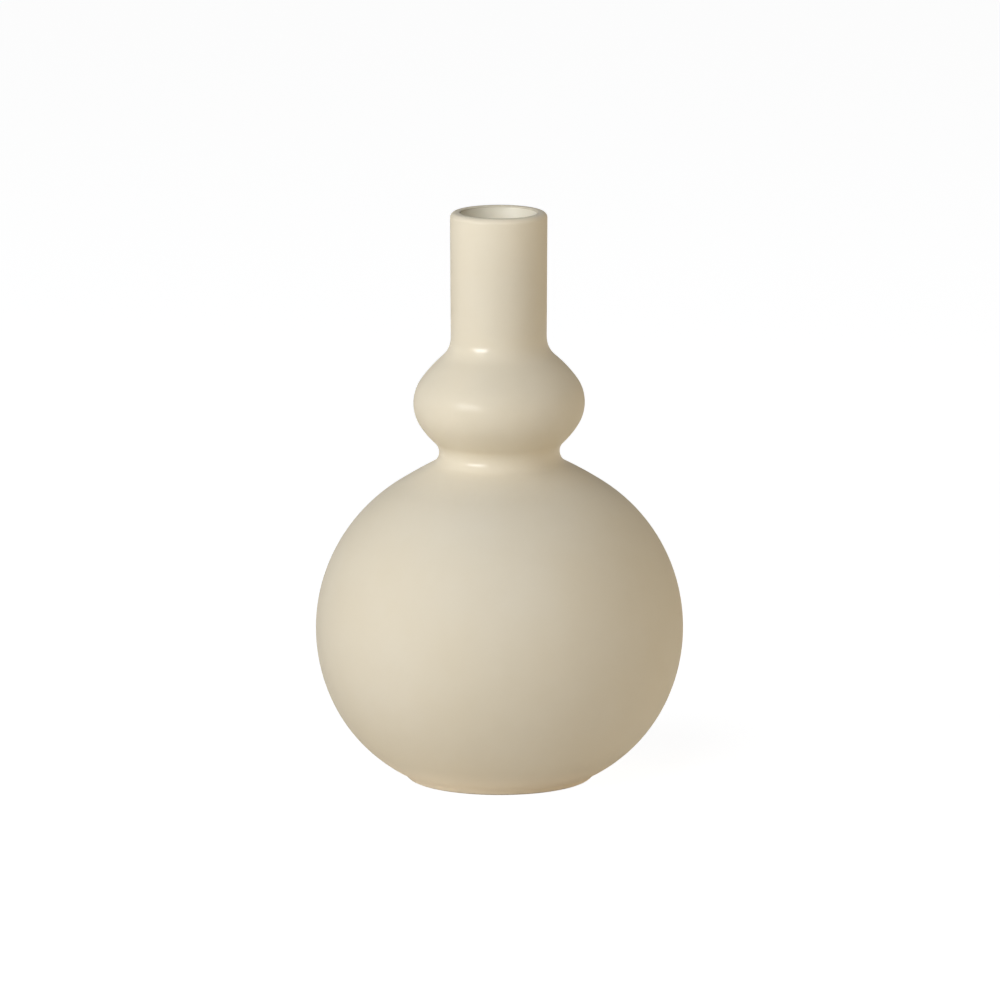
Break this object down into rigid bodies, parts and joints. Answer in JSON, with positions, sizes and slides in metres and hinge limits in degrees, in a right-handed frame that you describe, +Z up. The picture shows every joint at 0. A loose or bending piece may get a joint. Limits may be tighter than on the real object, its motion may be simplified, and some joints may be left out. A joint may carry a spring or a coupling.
{
  "type": "vase",
  "caption": "Glazed stoneware bottle vase with a round belly, a pinched waist, a flattened bulb and a straight narrow neck, for single stems or a small bunch.",
  "frame": {"origin": "centre of the foot ring's flat, on the surface the vase stands on", "axes": "+Z is up, along the axis of the vase; +X is to the right and -Y towards the viewer in the picture, but the shape is the same all round"},
  "size_m": [0.125, 0.125, 0.195],
  "materials": {
    "satin_cream_glaze": "satin-matt cream glaze with a soft sheen and faint mottling",
    "liner_glaze": "the same cream glaze, a little glossier, as a watertight liner",
    "bare_stoneware": "unglazed pale buff stoneware, fine-grained and matt, wiped smooth at the foot",
    "joint_slip": "fired slip, matt"
  },
  "bodies": {
    "root": {"belly_section": "bare_stoneware", "bulb_section": "bare_stoneware", "neck_section": "bare_stoneware", "waist_slip_joint": "joint_slip", "shoulder_slip_joint": "joint_slip", "outer_glaze": "satin_cream_glaze", "inner_glaze": "liner_glaze", "foot_recess_glaze": "satin_cream_glaze"}
  },
  "joints": []
}
